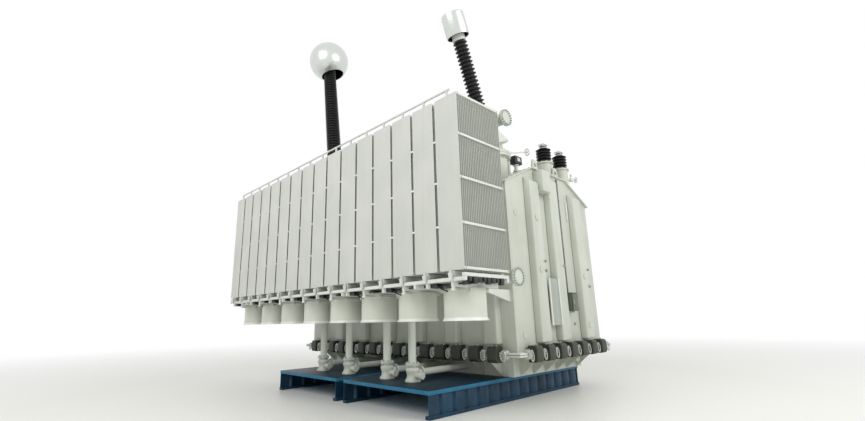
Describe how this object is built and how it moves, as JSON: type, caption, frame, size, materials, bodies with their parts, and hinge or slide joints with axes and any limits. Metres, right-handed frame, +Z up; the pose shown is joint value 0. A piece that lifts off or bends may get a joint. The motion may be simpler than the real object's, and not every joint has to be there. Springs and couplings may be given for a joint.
{
  "type": "oil-immersed shunt reactor",
  "caption": "Ribbed oil tank on blue transport pallets with a bank of panel radiators, cooling fans below it, oil pipes, and black bushings that carry a spherical and a cylindrical shield.",
  "frame": {"origin": "middle of the footprint, on the floor", "axes": "+X along the radiator bank, +Y from the bank to the tank, +Z up"},
  "size_m": [9.3072, 6.9319, 12.0195],
  "materials": {
    "radiator_paint": "semi-gloss light grey paint",
    "drum_paint": "semi-gloss light grey paint",
    "frame_paint": "semi-gloss light grey paint",
    "pipe_paint": "semi-gloss light grey paint",
    "fan_paint": "satin grey paint",
    "tank_paint": "semi-gloss pale grey-green paint",
    "clamp_iron": "dark olive forged iron",
    "silicone": "black silicone rubber",
    "shield_metal": "polished spun aluminium",
    "box_paint": "dark grey-green paint",
    "pallet_paint": "satin blue paint"
  },
  "bodies": {
    "root": {"base_gussets": "tank_paint", "control_box": "box_paint", "down_pipes": "pipe_paint", "drain_valve": "pipe_paint", "end_rails": "frame_paint", "end_ribs": "tank_paint", "end_straps": "frame_paint", "fan_bearers": "frame_paint", "fan_drum_1": "drum_paint", "fan_drum_2": "drum_paint", "fan_drum_3": "drum_paint", "fan_drum_4": "drum_paint", "fan_drum_5": "drum_paint", "fan_drum_6": "drum_paint", "fan_drum_7": "drum_paint", "fan_drum_8": "drum_paint", "fan_impellers": "fan_paint", "fan_motors": "fan_paint", "flange_clamps": "clamp_iron", "gas_relay": "fan_paint", "hv_bushing": "silicone", "hv_shield": "shield_metal", "hv_turret": "tank_paint", "lifting_brackets": "tank_paint", "lifting_lugs": "tank_paint", "line_bushing": "silicone", "line_shield": "shield_metal", "line_turret": "tank_paint", "lower_manifold": "pipe_paint", "pallet_decks": "pallet_paint", "pallet_walls": "pallet_paint", "radiator_valves": "pipe_paint", "radiators": "radiator_paint", "return_branches": "pipe_paint", "small_bushings": "silicone", "small_turrets": "tank_paint", "support_arms": "frame_paint", "tank_base": "tank_paint", "tank_body": "tank_paint", "tank_cover": "tank_paint", "tank_flanges": "tank_paint", "top_rail": "frame_paint", "underframe_rails": "frame_paint", "upper_manifold": "pipe_paint", "wall_ribs": "tank_paint"}
  },
  "joints": []
}
